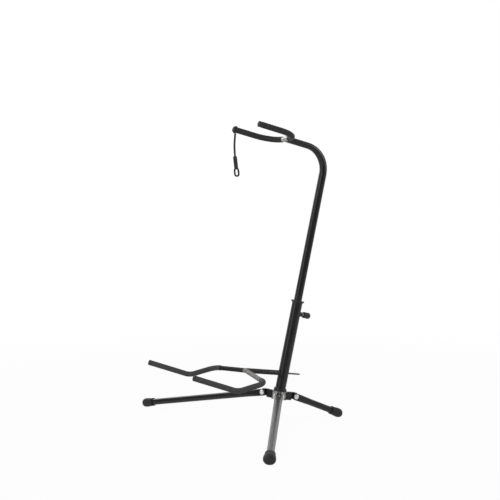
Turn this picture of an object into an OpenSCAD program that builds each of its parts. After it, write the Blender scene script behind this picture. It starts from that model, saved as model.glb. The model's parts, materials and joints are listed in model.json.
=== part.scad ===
/* [Upright] */
// Lean of the upright, back from the vertical
tube_lean = 12.8; // [8:0.2:16]
// Outside diameter of the lower tube
lower_d = 25; // [24:0.5:28]
// Wall of the lower tube
lower_wall = 1.3; // [1:0.1:2]
// Distance along the upright from the hub centre to the top of the lower tube
lower_top = 225; // [200:1:280]
// Outside diameter of the upper tube
upper_d = 19; // [16:0.5:20]
// Wall of the upper tube
upper_wall = 1.0; // [0.8:0.1:1.5]
// Length of upper tube hidden in the lower tube
upper_insert = 92; // [70:1:110]
// Distance along the upright from the hub centre to the start of the neck bend
bend_start = 544; // [450:1:620]
// Centre-line radius of the neck bend
neck_bend_r = 56; // [40:1:80]
// Straight run of the neck from the bend to the yoke's axis
neck_reach = 62; // [40:1:90]
// Outside diameter of the neck's drawn-down end
neck_end_d = 15.6; // [13:0.1:16]

/* [Bush and ring] */
// Diameter of the bush's flange on top of the lower tube
bush_flange_d = 32; // [31:0.5:40]
// Thickness of the bush's flange, with its bevel
bush_flange_t = 5; // [4:0.5:8]
// Length of the bush inside the lower tube
bush_depth = 16; // [12:1:18]
// Outside diameter of the ring round the foot of the lower tube
ring_d = 30.5; // [30:0.5:36]
// Height of that ring
ring_h = 9; // [6:0.5:14]
// Running clearance round the upper tube, per side
run_clear = 0.06; // [0.02:0.01:0.1]

/* [Hub] */
// Height of the hub centre over the floor
hub_z = 67; // [60:1:80]
// Lean of the hub, back from the vertical
hub_tilt = 8.5; // [6:0.5:12]
// Diameter of the hub core
core_d = 32; // [30:0.5:36]
// Height of the hub strips
strip_h = 19; // [18:0.5:24]
// Sheet thickness of the hub strips
strip_t = 2; // [1.5:0.1:2.5]
// Width over each pair of ears
ears_w = 10.5; // [9:0.5:12]
// Distance from the hub centre to the leg pivots
pivot_r = 43; // [41:0.5:50]
// Diameter of the leg rivets
rivet_d = 6; // [5:0.5:7]
// Diameter of the rivet heads
rivet_head_d = 12; // [9:0.5:13]
// Height of the rivet heads
rivet_head_h = 3; // [2:0.25:4]

/* [Legs] */
// Angle of each front leg from straight ahead
leg_azimuth = 60; // [50:1:70]
// Drop of every leg below the hub's own plane
leg_drop = 13.9; // [12:0.1:18]
// Width of a leg at its foot
leg_w = 16.2; // [15:0.2:18]
// Width of a leg where its long taper starts
leg_root_w = 18.8; // [18:0.2:19.6]
// Height of a leg
leg_h = 15.4; // [13:0.2:16]
// Wall of a leg
leg_wall = 1.2; // [1:0.1:1.6]
// Width of a leg at its pivot
fork_w = 19.8; // [19.4:0.2:24]
// Height of a leg at its pivot
fork_h = 17; // [15:0.5:20]
// Length of the short taper from the pivot end to the long one
taper_len = 34; // [20:1:50]
// Width of the rubber feet
foot_w = 26.5; // [24:0.5:32]
// Thickness of the rubber feet
foot_h = 22.4; // [20:0.2:24]
// Length of the rubber feet
foot_len = 32; // [28:1:40]
// Depth of the worn flat under each foot
foot_flat = 0.8; // [0.4:0.1:1.5]

/* [Clamp] */
// Distance from the top of the lower tube down to the clamp screw
clamp_down = 26; // [24:0.5:40]
// Diameter of the clamp screw
screw_d = 6; // [5:0.5:7]
// Diameter of the boss welded to the lower tube
boss_d = 11; // [9.5:0.5:13]
// Height of the boss over the tube
boss_h = 7; // [5:0.5:9]
// Diameter of the clamp knob
knob_d = 15; // [13:0.5:20]
// Length of the clamp knob
knob_len = 20; // [16:1:28]

/* [Yoke] */
// Half of the distance between the yoke's arms
yoke_half_w = 66; // [56:1:76]
// Centre-line radius of the yoke's bends
yoke_bend_r = 50; // [40:1:54]
// Straight length of each yoke arm
yoke_arm = 60.5; // [45:0.5:80]
// Outside diameter of the yoke tube
yoke_d = 11; // [9:0.5:12]
// Outside diameter of the yoke sleeves
yoke_sleeve_d = 14; // [13:0.2:16]
// Length of the caps on the yoke's tips
yoke_cap_len = 3.5; // [3:0.5:8]
// Width of the groove between a sleeve and its cap
groove_w = 5; // [2.5:0.1:6]

/* [Cradle] */
// Half of the distance between the cradle's arms
cradle_half_w = 133; // [110:1:150]
// Distance ahead of the hub centre of the cradle's middle
cradle_ahead = 89.5; // [80:0.5:110]
// Height of the cradle's middle over the floor
cradle_z = 132; // [126:0.5:140]
// Forward sweep of the cross piece from its middle to its ends
vee_sweep = 17.5; // [8:0.5:30]
// Drop of the cross piece from its middle to its ends
vee_drop = 9; // [4:0.5:14]
// Length of the pocket stretch of each arm
pocket_len = 69; // [60:1:100]
// Dip of the pocket stretch below the level
pocket_dip = 11.4; // [5:0.2:14]
// Length of the rising stretch of each arm
rise_len = 110; // [80:1:130]
// Rise of that stretch above the level
rise_angle = 19.5; // [12:0.5:30]
// Outside diameter of the cradle tube
cradle_d = 11; // [9:0.5:12]
// Outside diameter of the cradle sleeves
cradle_sleeve_d = 12.6; // [12.4:0.2:15]
// Length of sleeve on the cross piece, inside each bend
sleeve_lap = 26; // [22:1:40]
// Outside diameter of the cradle's stem
stem_d = 12; // [10:0.5:13]
// Rise of the stem towards the front
stem_rise = 7.3; // [4:0.1:12]
// Width of the tongue through the lower tube
tongue_w = 13; // [10:0.5:14]
// Thickness of the tongue
tongue_t = 3; // [2.5:0.1:4]
// Length of tongue showing behind the lower tube
tongue_out = 29; // [15:1:40]

/* [Strap] */
// Height of the strap's ring over the sleeve beside it
strap_ring_out = 2; // [1.1:0.1:3]
// Diameter of the strap's thin part
strap_d = 4.8; // [3:0.2:6]
// Width of the strap's doubled part
tab_w = 9.4; // [8:0.2:12]
// Length of the doubled part
tab_len = 30; // [20:1:40]
// Thickness of the doubled part and the eye
tab_t = 3.2; // [2.4:0.2:4]
// Outside width of the eye
eye_w = 13.4; // [12:0.2:17]
// Outside height of the eye
eye_h = 22; // [18:0.5:26]
// Width of rubber round the eye's hole
eye_rim = 4.2; // [3:0.2:4.6]

/* [Hidden] */

$fn = 64;
hull_fn = 32;

// Gap left at a stop, and between faces that slide past each other
face_gap = 0.3;
// Clearance of a flat tongue in its slot, per side
slot_gap = 0.25;
// Play of the pivot washers beside a leg's walls
washer_gap = 0.2;
// Length by which cutting shapes run past what they cut
past = 1;
// How far a straight tube runs on into its bend, and how much thinner the bend's wall is, per face
bend_lap = 0.5;
bend_skin = 0.02;

// Azimuths of the three legs, about the hub's axis
left_az = -leg_azimuth;
right_az = leg_azimuth;
rear_az = 180;

lower_bore = lower_d - 2 * lower_wall;
upper_bore = upper_d - 2 * upper_wall;
upper_bottom = lower_top - upper_insert;
yoke_s = bend_start + neck_bend_r;
yoke_f = neck_bend_r + neck_reach;
arm_start_f = yoke_f + yoke_bend_r;
yoke_wall = 1;
tip_f = arm_start_f + yoke_arm;
groove_f = tip_f - yoke_cap_len - groove_w;
cap_end_t = 2;
cap_bevel = 1.2;
skirt_in = 0.3;
clamp_s = lower_top - clamp_down;

hub_top = strip_h / 2;
core_r = core_d / 2;
strip_r = core_r + strip_t;
tube_foot = hub_top + lower_d / 2 * sin(abs(tube_lean - hub_tilt)) + 0.5;
stub_h = 14;
core_hole_r = 4;
// An ear's round nose turns inside the leg, and its toe stands on the leg's floor: the stop that
// bears the load
ear_nose_r = fork_h / 2 - leg_wall - face_gap;
toe_reach = ear_nose_r + 5;
toe_h = 6;
leg_back = fork_h / 2 + 0.5;
fork_len = ear_nose_r + 6;
fork_corner_r = 4;
// The ways through a leg's roof and floor that let it swing down past the ears
notch_w = fork_w - 2 * leg_wall - 2;
roof_notch = ear_nose_r + 11.7;
floor_notch = ear_nose_r;
washer_d = rivet_d + 3.6;
washer_t = (fork_w - 2 * leg_wall - ears_w) / 2 - washer_gap;

foot_r = foot_h / 2;
foot_side = foot_w / 2 - foot_r;
foot_mouth = foot_len - foot_r;
foot_belly = 8;
foot_fit = 0.05;
foot_wall = 1.9;
foot_z = foot_r - foot_flat;
leg_end_gap = 2;
plain_corner = leg_h / 2 - 0.4;

// Height of a leg's pivot, and the fall of the leg per unit of its length
function pivot_z(az) = hub_z + cos(az) * pivot_r * sin(hub_tilt);
function leg_fall(az) = sin(leg_drop) * cos(hub_tilt) - cos(az) * cos(leg_drop) * sin(hub_tilt);
// Distance along a leg from its pivot to the middle of its foot's outer end
function leg_reach(az) = (pivot_z(az) - foot_z) / leg_fall(az);

// The cradle's corner points, ahead of the hub centre, for the side s
function at(s, lateral, ahead, z) = [s * lateral, hub_y - ahead, z];
bend_ahead = cradle_ahead + vee_sweep;
bend_z = cradle_z - vee_drop;
dip_ahead = bend_ahead + pocket_len * cos(pocket_dip);
dip_z = bend_z - pocket_len * sin(pocket_dip);
tip_ahead = dip_ahead + rise_len * cos(rise_angle);
tip_z = dip_z + rise_len * sin(rise_angle);
cradle_bend_r = 22;
dip_bend_r = 45;
vee_bend_r = 25;
cradle_wall = 1;
plug_t = 1.5;
plug_depth = 10;
stem_wall = 1.2;
stem_start_gap = 3;
stem_solid = 8;

// The origin lies under the middle of the stand's box, so the hub lies this far behind it
front_reach = tip_ahead + cradle_sleeve_d / 2 * sin(rise_angle) + plug_t * cos(rise_angle);
rear_slope = leg_drop + hub_tilt;
rear_reach = pivot_r * cos(hub_tilt) + leg_reach(rear_az) * cos(rear_slope) + foot_r;
hub_y = (front_reach - rear_reach) / 2;

// Where the tube's axis and its faces cross the stem's line
stem_dir = [0, cos(stem_rise), -sin(stem_rise)];
stem_start = [0, hub_y - cradle_ahead, cradle_z];
stem_cross = (cradle_ahead + (cradle_z - hub_z) * tan(tube_lean)) * cos(tube_lean)
    / cos(tube_lean - stem_rise);
tube_half = lower_d / 2 / cos(tube_lean - stem_rise);
shoulder_gap = face_gap + stem_d / 2 * tan(tube_lean - stem_rise);
shoulder = stem_cross - tube_half - shoulder_gap;
tongue_end = stem_cross + tube_half + tongue_out;

// The middle of the cross piece's bend, which the stem is welded to
vee_turn = acos(unit([cradle_half_w, -vee_sweep, -vee_drop]) * unit([cradle_half_w, vee_sweep, vee_drop]));
vee_apex = stem_start + unit([0, -vee_sweep, -vee_drop]) * vee_bend_r * (1 / cos(vee_turn / 2) - 1);

// Screw and knob, outwards from the upper tube's face
pad_len = 3;
pad_r = screw_d / 2;
pad_start = upper_d / 2 + 0.08;
screw_start = pad_start + pad_len;
collar_h = 1.4;
knob_start = lower_d / 2 + boss_h + collar_h + 0.6;
knob_bottom = 8;

// The strap hangs from its ring in the left arm's groove; its run, down from the ring
strap_route = [[0, 0, 0], [0, -0.6, -6], [0, -1.2, -12], [0, -1.6, -18], [0, -2, -24],
    [0, -2.2, -30], [0, -2, -36], [0, -1.6, -42], [0, -1.2, -48], [0, -1, -54]];
strap_sides = 8;
tab_turn = 62;
tab_lean = 7;
ring_clear = 0.3;
strap_ring_d = yoke_sleeve_d + 2 * strap_ring_out;
strap_ring_f = groove_f + groove_w / 2;
ring_centre = on_upright_point([-yoke_half_w, -strap_ring_f, yoke_s]);
// The strap's top end is sunk a little into the lowest edge of the leaning ring
strap_sink = 0.18;
strap_top = ring_centre - [0, 0, strap_ring_d / 2 * cos(tube_lean)
    + (groove_w / 2 - ring_clear) * sin(tube_lean) - strap_sink];
strap_end = strap_top + strap_route[len(strap_route) - 1];

function unit(v) = v / norm(v);
// A point given in the upright's own frame, whose z runs up the tube from the hub centre
function on_upright_point(p) = [p[0],
    hub_y + p[1] * cos(tube_lean) + p[2] * sin(tube_lean),
    hub_z - p[1] * sin(tube_lean) + p[2] * cos(tube_lean)];

// Frames
module on_hub() {
    translate([0, hub_y, hub_z])
        rotate([-hub_tilt, 0, 0])
            children();
}
module on_upright(s = 0) {
    translate([0, hub_y, hub_z])
        rotate([-tube_lean, 0, 0])
            translate([0, 0, s])
                children();
}
// The frame of a leg: its origin on the pivot, its length along -y
module on_leg(az) {
    on_hub()
        rotate([0, 0, az])
            translate([0, -pivot_r, 0])
                rotate([leg_drop, 0, 0])
                    children();
}
module basis(o, x, y, z) {
    multmatrix([[x[0], y[0], z[0], o[0]],
                [x[1], y[1], z[1], o[1]],
                [x[2], y[2], z[2], o[2]],
                [0, 0, 0, 1]])
        children();
}
// Stands a child's z axis on the point o along the direction z
function side_of(z) = unit(cross(z, abs(z[0]) > 0.9 ? [0, 0, 1] : [1, 0, 0]));
module along(o, z) {
    x = side_of(z);
    basis(o, x, cross(z, x), z)
        children();
}

// Shapes
module pipe(ro, ri, h) {
    difference() {
        cylinder(r = ro, h = h);
        if (ri > 0)
            translate([0, 0, -past])
                cylinder(r = ri, h = h + 2 * past);
    }
}
module pipe_bend(centre_r, ro, ri, angle) {
    rotate_extrude(angle = angle)
        translate([centre_r, 0])
            difference() {
                circle(r = ro);
                if (ri > 0)
                    circle(r = ri);
            }
}
// A tube through the points, with an arc of the given centre-line radius at each inner point.
// It is drawn from one end to the other, each stretch in the frame where the last one ended.
module bent_tube(points, radii, ro, ri) {
    n = len(points);
    dirs = [for (i = [0:n - 2]) unit(points[i + 1] - points[i])];
    turns = [0, for (i = [1:n - 2]) acos(dirs[i - 1] * dirs[i]), 0];
    cuts = [for (i = [0:n - 1]) turns[i] > 0 ? radii[i - 1] * tan(turns[i] / 2) : 0];
    runs = [for (i = [0:n - 2]) norm(points[i + 1] - points[i]) - cuts[i] - cuts[i + 1]];
    along(points[0], dirs[0])
        bent_run(dirs, turns, radii, runs, ro, ri, 0, side_of(dirs[0]));
}
// Each straight stretch runs on a little past the ends of the bends, whose wall is thinner by a hair
module bent_run(dirs, turns, radii, runs, ro, ri, i, x) {
    before = i > 0 ? bend_lap : 0;
    after = i < len(runs) - 1 ? bend_lap : 0;
    translate([0, 0, -before])
        pipe(ro, ri, runs[i] + before + after);
    if (i < len(runs) - 1) {
        z = dirs[i];
        turn = turns[i + 1];
        r = radii[i];
        towards = unit(dirs[i + 1] - (dirs[i + 1] * z) * z);
        translate([0, 0, runs[i]])
            rotate([0, 0, atan2(towards * cross(z, x), towards * x)])
                translate([r, 0, 0]) {
                    rotate([0, 0, 180])
                        rotate([90, 0, 0])
                            pipe_bend(r, ro - bend_skin, ri + bend_skin, turn);
                    rotate([0, turn, 0])
                        translate([-r, 0, 0])
                            bent_run(dirs, turns, radii, runs, ro, ri, i + 1,
                                towards * cos(turn) - z * sin(turn));
                }
    }
}
// A flat with round corners, in the plane across a leg
module rounded(w, h, r) {
    square([w - 2 * r, h], center = true);
    square([w, h - 2 * r], center = true);
    for (x = [-1, 1], y = [-1, 1])
        translate([x * (w / 2 - r), y * (h / 2 - r)])
            circle(r = r);
}
// Extrudes a section along -y, from y0 to y1
module leg_run(y0, y1) {
    translate([0, -y0, 0])
        rotate([90, 0, 0])
            linear_extrude(y1 - y0)
                children();
}
// The outside or, with an inset, the inside of a leg
module leg_form(inset, reach, open = 0) {
    thin = 0.01;
    socket = reach - foot_len;
    leg_run(-leg_back - open, fork_len)
        rounded(fork_w - 2 * inset, fork_h - 2 * inset, fork_corner_r - inset);
    hull() {
        leg_run(fork_len - thin, fork_len)
            rounded(fork_w - 2 * inset, fork_h - 2 * inset, fork_corner_r - inset, $fn = hull_fn);
        leg_run(fork_len + taper_len, fork_len + taper_len + thin)
            rounded(leg_root_w - 2 * inset, leg_h - 2 * inset, plain_corner - inset, $fn = hull_fn);
    }
    hull() {
        leg_run(fork_len + taper_len, fork_len + taper_len + thin)
            rounded(leg_root_w - 2 * inset, leg_h - 2 * inset, plain_corner - inset, $fn = hull_fn);
        leg_run(socket - thin, socket)
            rounded(leg_w - 2 * inset, leg_h - 2 * inset, plain_corner - inset, $fn = hull_fn);
    }
    leg_run(socket, reach + open)
        rounded(leg_w - 2 * inset, leg_h - 2 * inset, plain_corner - inset);
}

// Upright
module lower_tube() {
    color("#17181a")
        difference() {
            on_upright(tube_foot)
                pipe(lower_d / 2, lower_bore / 2, lower_top - tube_foot);
            on_upright(clamp_s)
                rotate([-90, 0, 0])
                    cylinder(r = pad_r + run_clear, h = lower_d);
            along(stem_start, stem_dir)
                translate([-tongue_t / 2 - slot_gap, -tongue_w / 2 - slot_gap, shoulder - past])
                    cube([tongue_t + 2 * slot_gap, tongue_w + 2 * slot_gap, tongue_end - shoulder]);
        }
}
module tube_bush() {
    color("#1d1e20")
        on_upright(lower_top - bush_depth)
            difference() {
                union() {
                    cylinder(r = lower_bore / 2, h = bush_depth + past);
                    translate([0, 0, bush_depth])
                        cylinder(r1 = lower_d / 2 + 0.6, r2 = bush_flange_d / 2, h = bush_flange_t / 2);
                    translate([0, 0, bush_depth + bush_flange_t / 2])
                        cylinder(r = bush_flange_d / 2, h = bush_flange_t / 2);
                }
                translate([0, 0, -past])
                    cylinder(r = upper_d / 2 + run_clear, h = bush_depth + bush_flange_t + 2 * past);
            }
}
module base_ring() {
    sunk = 2;
    bevel_h = 1.5;
    color("#141517")
        difference() {
            on_upright(hub_top - sunk)
                difference() {
                    union() {
                        cylinder(r = ring_d / 2, h = ring_h);
                        translate([0, 0, ring_h])
                            cylinder(r1 = ring_d / 2, r2 = lower_d / 2 + 0.5, h = bevel_h);
                    }
                    translate([0, 0, -past])
                        cylinder(r = lower_d / 2, h = ring_h + bevel_h + 2 * past);
                }
            on_hub()
                translate([0, 0, -hub_top])
                    cylinder(r = ring_d, h = strip_h);
        }
}

// Hub
module hub_core() {
    color("#232427")
        difference() {
            union() {
                on_hub()
                    translate([0, 0, -hub_top])
                        cylinder(r = core_r, h = strip_h);
                on_upright(0)
                    cylinder(r = lower_bore / 2, h = tube_foot + stub_h);
            }
            on_upright(-strip_h)
                cylinder(r = core_hole_r, h = tube_foot + stub_h + strip_h + past);
        }
}
// One strip: half round the core, with an ear beside each of the two legs it joins
module hub_strip(from_az, to_az) {
    color("#1b1c1e")
        on_hub()
            difference() {
                translate([0, 0, -hub_top])
                    linear_extrude(strip_h)
                        difference() {
                            strip_plan(from_az, to_az);
                            circle(r = core_r);
                        }
                for (az = [from_az, to_az])
                    rotate([0, 0, az])
                        translate([0, -pivot_r, 0])
                            rotate([leg_drop, 0, 0])
                                ear_trim();
            }
}
module strip_plan(from_az, to_az) {
    half = ears_w / 2;
    lap = asin(half / strip_r);
    ear_end = pivot_r + fork_h;
    ear_len = ear_end - core_r + strip_t / 3;
    intersection() {
        circle(r = strip_r);
        polygon([[0, 0],
                 for (k = [0:4]) let (t = from_az + lap + (to_az - from_az - 2 * lap) * k / 4)
                     2 * strip_r * [sin(t), -cos(t)]]);
    }
    rotate([0, 0, from_az])
        translate([half - strip_t, -ear_end])
            square([strip_t, ear_len]);
    rotate([0, 0, to_az])
        translate([-half, -ear_end])
            square([strip_t, ear_len]);
}
// What is cut off a pair of ears: the rivet's hole, all beyond the round nose and the toe, and the
// relief beside the leg's inner end
module ear_trim() {
    rotate([0, 90, 0])
        cylinder(r = rivet_d / 2, h = 4 * ears_w, center = true);
    difference() {
        translate([-ears_w, -3 * fork_h, -2 * strip_h])
            cube([2 * ears_w, 3 * fork_h, 4 * strip_h]);
        rotate([0, 90, 0])
            cylinder(r = ear_nose_r, h = 4 * ears_w, center = true);
        translate([-2 * ears_w, -toe_reach, -ear_nose_r])
            cube([4 * ears_w, toe_reach, toe_h]);
    }
    translate([-ears_w, -past, -2 * strip_h])
        cube([2 * ears_w, leg_back + face_gap + past, 2 * strip_h - ear_nose_r]);
}
module leg_rivets() {
    head_gap = 0.15;
    half = fork_w / 2 + head_gap;
    dome_r = (rivet_head_d * rivet_head_d / 4 + rivet_head_h * rivet_head_h) / (2 * rivet_head_h);
    color("#d9dadd")
        for (az = [left_az, right_az, rear_az])
            on_leg(az)
                rotate([0, 90, 0]) {
                    translate([0, 0, -half - rivet_head_h / 4])
                        cylinder(r = rivet_d / 2, h = 2 * half + rivet_head_h / 2);
                    for (side = [0, 1])
                        mirror([0, 0, side])
                            intersection() {
                                translate([0, 0, half + rivet_head_h - dome_r])
                                    sphere(r = dome_r);
                                translate([0, 0, half])
                                    cylinder(r = rivet_head_d, h = rivet_head_h + past);
                            }
                }
}
module pivot_washers() {
    color("#e8e8e4")
        for (az = [left_az, right_az, rear_az], side = [0, 1])
            on_leg(az)
                mirror([side, 0, 0])
                    translate([ears_w / 2, 0, 0])
                        rotate([0, 90, 0])
                            pipe(washer_d / 2, rivet_d / 2, washer_t);
}

// Legs and feet
module leg(az) {
    reach = leg_reach(az) - leg_end_gap;
    color("#1a1b1d")
        on_leg(az)
            difference() {
                leg_form(0, reach);
                leg_form(leg_wall, reach, past);
                notches();
                rotate([0, 90, 0])
                    cylinder(r = rivet_d / 2 + run_clear, h = 2 * fork_w, center = true);
            }
}
module notches() {
    translate([0, notch_w / 2 - roof_notch, 0]) {
        translate([-notch_w / 2, 0, 0])
            cube([notch_w, 3 * fork_h, fork_h]);
        cylinder(r = notch_w / 2, h = fork_h);
    }
    translate([-notch_w / 2, -floor_notch, -fork_h])
        cube([notch_w, 3 * fork_h, fork_h]);
}
module leg_front_left() leg(left_az);
module leg_front_right() leg(right_az);
module leg_rear() leg(rear_az);
module foot(az) {
    reach = leg_reach(az);
    color("#202124")
        difference() {
            intersection() {
                on_leg(az)
                    hull() {
                        leg_run(reach - foot_mouth, reach - foot_mouth + 0.5)
                            rounded(leg_w + 2 * foot_wall, leg_h + 2 * foot_wall, plain_corner,
                                $fn = hull_fn);
                        for (x = [-foot_side, foot_side], y = [reach - foot_belly, reach])
                            translate([x, -y, 0])
                                sphere(r = foot_r, $fn = hull_fn);
                    }
                translate([-1000, -1000, 0])
                    cube(2000);
            }
            on_leg(az)
                leg_run(reach - foot_len, reach - leg_end_gap + face_gap)
                    rounded(leg_w + 2 * foot_fit, leg_h + 2 * foot_fit, plain_corner);
        }
}
module foot_front_left() foot(left_az);
module foot_front_right() foot(right_az);
module foot_rear() foot(rear_az);

// Clamp, on the back of the lower tube
module on_clamp() {
    on_upright(clamp_s)
        rotate([-90, 0, 0])
            children();
}
module clamp_boss() {
    foot_s = lower_bore / 2;
    color("#2a2b2e")
        difference() {
            on_clamp()
                translate([0, 0, foot_s])
                    pipe(boss_d / 2, pad_r + run_clear, lower_d / 2 + boss_h - foot_s);
            on_upright(0)
                cylinder(r = lower_d / 2, h = lower_top);
        }
}
module clamp_pad() {
    color("#c9a24a")
        on_clamp()
            translate([0, 0, pad_start])
                cylinder(r = pad_r, h = pad_len);
}
module clamp_screw() {
    color("#c8c9cc")
        on_clamp() {
            translate([0, 0, screw_start])
                cylinder(r = screw_d / 2, h = knob_start + knob_len - knob_bottom - screw_start);
            translate([0, 0, knob_start - collar_h])
                cylinder(r = boss_d / 2 - 0.8, h = collar_h);
        }
}
module clamp_knob() {
    flutes = 10;
    flute_r = 1.3;
    edge = 1;
    nose_h = 4;
    color("#161719")
        on_clamp()
            translate([0, 0, knob_start])
                difference() {
                    union() {
                        cylinder(r1 = knob_d / 2 - edge, r2 = knob_d / 2, h = edge);
                        translate([0, 0, edge])
                            cylinder(r = knob_d / 2, h = knob_len - edge - nose_h);
                        translate([0, 0, knob_len - nose_h])
                            cylinder(r1 = knob_d / 2, r2 = knob_d / 4, h = nose_h);
                    }
                    for (k = [0:flutes - 1])
                        rotate([0, 0, k * 360 / flutes])
                            translate([knob_d / 2 + 0.5, 0, 3 * edge])
                                cylinder(r = flute_r, h = knob_len);
                    translate([0, 0, -past])
                        cylinder(r = screw_d / 2, h = knob_len - knob_bottom + past);
                }
}

// Sliding upper tube with its neck
module guide_plug() {
    flange_h = 14;
    shank_h = 20;
    color("#dedcd2")
        on_upright(upper_bottom - flange_h) {
            cylinder(r = lower_bore / 2 - run_clear, h = flange_h - face_gap);
            cylinder(r = upper_bore / 2 - run_clear, h = flange_h + shank_h);
        }
}
// Rings of the neck, by the angle round its bend, over which the tube is drawn down
// and which is a little slimmer than the straight tube from its start
draw_from = 35;
draw_over = 50;
neck_steps = 15;
neck_start_r = upper_d / 2 - 0.3;
function neck_radius(t) = let (u = min(1, max(0, (t - draw_from) / draw_over)))
    neck_start_r + (neck_end_d / 2 - neck_start_r) * u * u * (3 - 2 * u);
function neck_ring(t, inset) = let (r = neck_radius(t) - inset)
    [for (k = [0:hull_fn - 1]) let (a = 360 * k / hull_fn, q = neck_bend_r + r * cos(a))
        [r * sin(a), -neck_bend_r + q * cos(t), bend_start + q * sin(t)]];
function neck_flat_ring(r, z) =
    [for (k = [0:hull_fn - 1]) let (a = 360 * k / hull_fn) [r * sin(a), r * cos(a), z]];
function neck_end_ring(r, f) =
    [for (k = [0:hull_fn - 1]) let (a = 360 * k / hull_fn)
        [r * sin(a), -f, bend_start + neck_bend_r + r * cos(a)]];
// The neck's wall, outside and inside, from a lap inside the straight tube to a lap past the yoke
function neck_rings(inset) = [neck_flat_ring(neck_start_r - inset, bend_start - past),
    for (i = [0:neck_steps]) neck_ring(90 * i / neck_steps, inset),
    neck_end_ring(neck_end_d / 2 - inset, yoke_f + past)];
module neck() {
    rings = concat(neck_rings(0), neck_rings(upper_wall));
    n = hull_fn;
    last = len(rings) / 2 - 1;
    inner = (last + 1) * n;
    polyhedron(
        points = [for (ring = rings) each ring],
        faces = [for (k = [0:n - 1]) let (m = (k + 1) % n, e = last * n) each [
                     [m, k, k + inner], [m, k + inner, m + inner],
                     [e + k, e + m, e + m + inner], [e + k, e + m + inner, e + k + inner]],
                 for (i = [0:last - 1], k = [0:n - 1])
                     let (m = (k + 1) % n, p = i * n, q = p + n, u = p + inner, v = q + inner) each [
                         [p + k, q + m, q + k], [p + k, p + m, q + m],
                         [u + k, v + k, v + m], [u + k, v + m, u + m]]]);
}
module upper_tube() {
    color("#17181a")
        difference() {
            union() {
                on_upright(upper_bottom)
                    pipe(upper_d / 2, upper_bore / 2, bend_start + bend_lap - upper_bottom);
                on_upright(0)
                    neck();
            }
            on_yoke() {
                translate([-yoke_half_w, -yoke_f, 0])
                    rotate([0, 90, 0])
                        cylinder(r = yoke_d / 2, h = 2 * yoke_half_w);
                translate([-yoke_half_w, -yoke_f - 3 * neck_end_d, -yoke_half_w])
                    cube([2 * yoke_half_w, 3 * neck_end_d, 2 * yoke_half_w]);
            }
        }
}

// Yoke, in the plane across the upright
module on_yoke() {
    on_upright(yoke_s)
        children();
}
module yoke_tube() {
    color("#3a3b3e")
        on_yoke()
            bent_tube([[-yoke_half_w, cap_end_t - tip_f, 0], [-yoke_half_w, -yoke_f, 0],
                [yoke_half_w, -yoke_f, 0], [yoke_half_w, cap_end_t - tip_f, 0]],
                [yoke_bend_r, yoke_bend_r], yoke_d / 2, yoke_d / 2 - yoke_wall);
}
module yoke_sleeve() {
    translate([-yoke_half_w, -groove_f, 0])
        rotate([-90, 0, 0]) {
            pipe(yoke_sleeve_d / 2, yoke_d / 2, groove_f - arm_start_f);
            translate([yoke_bend_r, 0, groove_f - arm_start_f])
                rotate([0, 0, 180])
                    rotate([90, 0, 0])
                        pipe_bend(yoke_bend_r, yoke_sleeve_d / 2, yoke_d / 2, 90);
        }
}
module yoke_sleeve_left() color("#2c2d2f") on_yoke() yoke_sleeve();
module yoke_sleeve_right() color("#2c2d2f") on_yoke() mirror([1, 0, 0]) yoke_sleeve();
// The right cap has a skirt that closes the groove where the left arm has the strap's ring
module yoke_cap(skirt) {
    translate([-yoke_half_w, -groove_f - groove_w, 0])
        rotate([90, 0, 0])
            difference() {
                union() {
                    if (skirt > 0)
                        translate([0, 0, -skirt])
                            cylinder(r = yoke_sleeve_d / 2 - skirt_in, h = skirt);
                    cylinder(r = yoke_sleeve_d / 2, h = yoke_cap_len - cap_bevel);
                    translate([0, 0, yoke_cap_len - cap_bevel])
                        cylinder(r1 = yoke_sleeve_d / 2, r2 = yoke_sleeve_d / 2 - cap_bevel, h = cap_bevel);
                }
                translate([0, 0, -skirt - past])
                    cylinder(r = yoke_d / 2, h = yoke_cap_len - cap_end_t + skirt + past);
            }
    translate([-yoke_half_w, -groove_f - groove_w - yoke_cap_len + cap_end_t / 2, 0])
        rotate([-90, 0, 0])
            cylinder(r = yoke_d / 2 - yoke_wall, h = plug_depth + cap_end_t / 2);
}
module yoke_cap_left() color("#131416") on_yoke() yoke_cap(0);
module yoke_cap_right() color("#131416") on_yoke() mirror([1, 0, 0]) yoke_cap(groove_w);

// Strap
module strap_ring() {
    color("#26272a")
        on_yoke()
            translate([-yoke_half_w, -groove_f - ring_clear, 0])
                rotate([90, 0, 0])
                    pipe(strap_ring_d / 2, yoke_d / 2 + ring_clear, groove_w - 2 * ring_clear);
}
function strap_dir(i) = let (n = len(strap_route))
    unit(strap_route[min(i + 1, n - 1)] - strap_route[max(i - 1, 0)]);
function strap_ring_points(i) = let (d = strap_dir(i), x = unit(cross([0, 1, 0], d)), y = cross(d, x))
    [for (k = [0:strap_sides - 1]) let (a = 360 * k / strap_sides)
        strap_top + strap_route[i] + strap_d / 2 * (cos(a) * x + sin(a) * y)];
module strap_cord() {
    n = strap_sides;
    last = len(strap_route) - 1;
    color("#26272a")
        polyhedron(
            points = [for (i = [0:last]) each strap_ring_points(i)],
            faces = [[for (k = [n - 1:-1:0]) k],
                     for (i = [0:last - 1], k = [0:n - 1]) let (m = (k + 1) % n)
                         each [[i * n + k, i * n + m, (i + 1) * n + m],
                               [i * n + k, (i + 1) * n + m, (i + 1) * n + k]],
                     [for (k = [0:n - 1]) last * n + k]]);
}
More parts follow.
